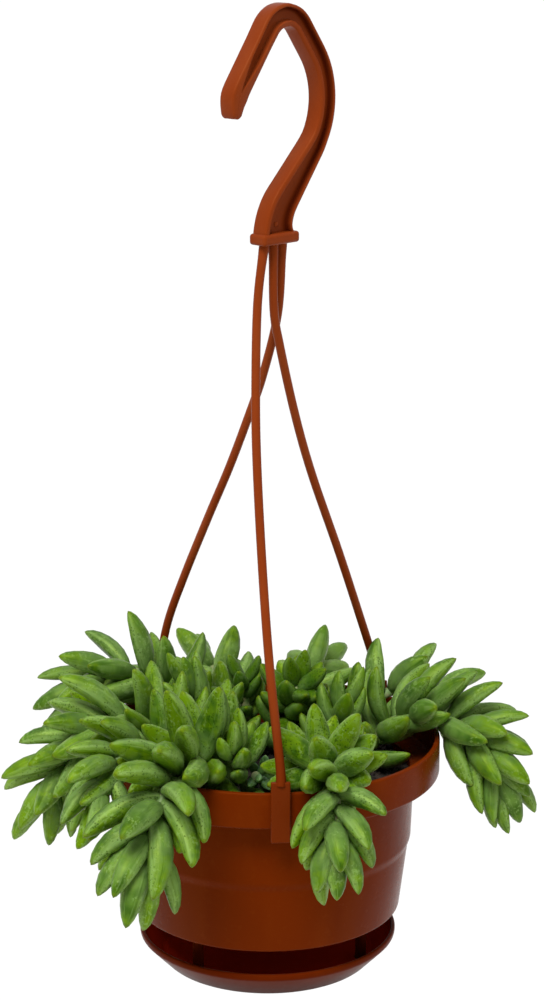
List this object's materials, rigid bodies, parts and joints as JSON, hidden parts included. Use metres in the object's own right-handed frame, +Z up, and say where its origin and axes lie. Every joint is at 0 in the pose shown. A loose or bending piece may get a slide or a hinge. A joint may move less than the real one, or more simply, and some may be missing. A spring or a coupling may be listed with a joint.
{
  "type": "potted burro's tail",
  "caption": "Trailing succulent with plump pointed leaves in a round plastic hanging pot with clip-on saucer and hooked hanger.",
  "frame": {"origin": "inner crown of the hook, where the hanger bears on the rail or nail that it hangs on", "axes": "+Z up along the hanging line; -Y towards the viewer of the picture, with one clip of the hanger at the front; +X to the viewer's right"},
  "size_m": [0.1849, 0.1806, 0.3322],
  "materials": {
    "pot_plastic": "moulded polypropylene, satin, terracotta brown",
    "hanger_plastic": "moulded polypropylene, satin, lighter terracotta",
    "potting_soil": "dark damp peat, matt",
    "leaf": "waxy succulent leaf, grey-green with yellow-green flush and fine speckles",
    "leaf_new": "waxy young succulent leaf, blue-green"
  },
  "bodies": {
    "root": {"pot": "pot_plastic", "saucer": "pot_plastic", "hanger": "hanger_plastic", "soil": "potting_soil", "stem_front_left": "leaf", "stem_front_right": "leaf", "stem_right": "leaf", "stem_left": "leaf", "stem_left_back": "leaf", "stem_left_front": "leaf", "stem_left_upright": "leaf", "stem_front_short": "leaf", "stem_centre_back": "leaf", "stem_centre_right": "leaf", "stem_small_dark": "leaf", "stem_new_shoot": "leaf_new", "stem_right_back": "leaf", "stem_back_left": "leaf", "stem_back_right": "leaf"}
  },
  "joints": []
}
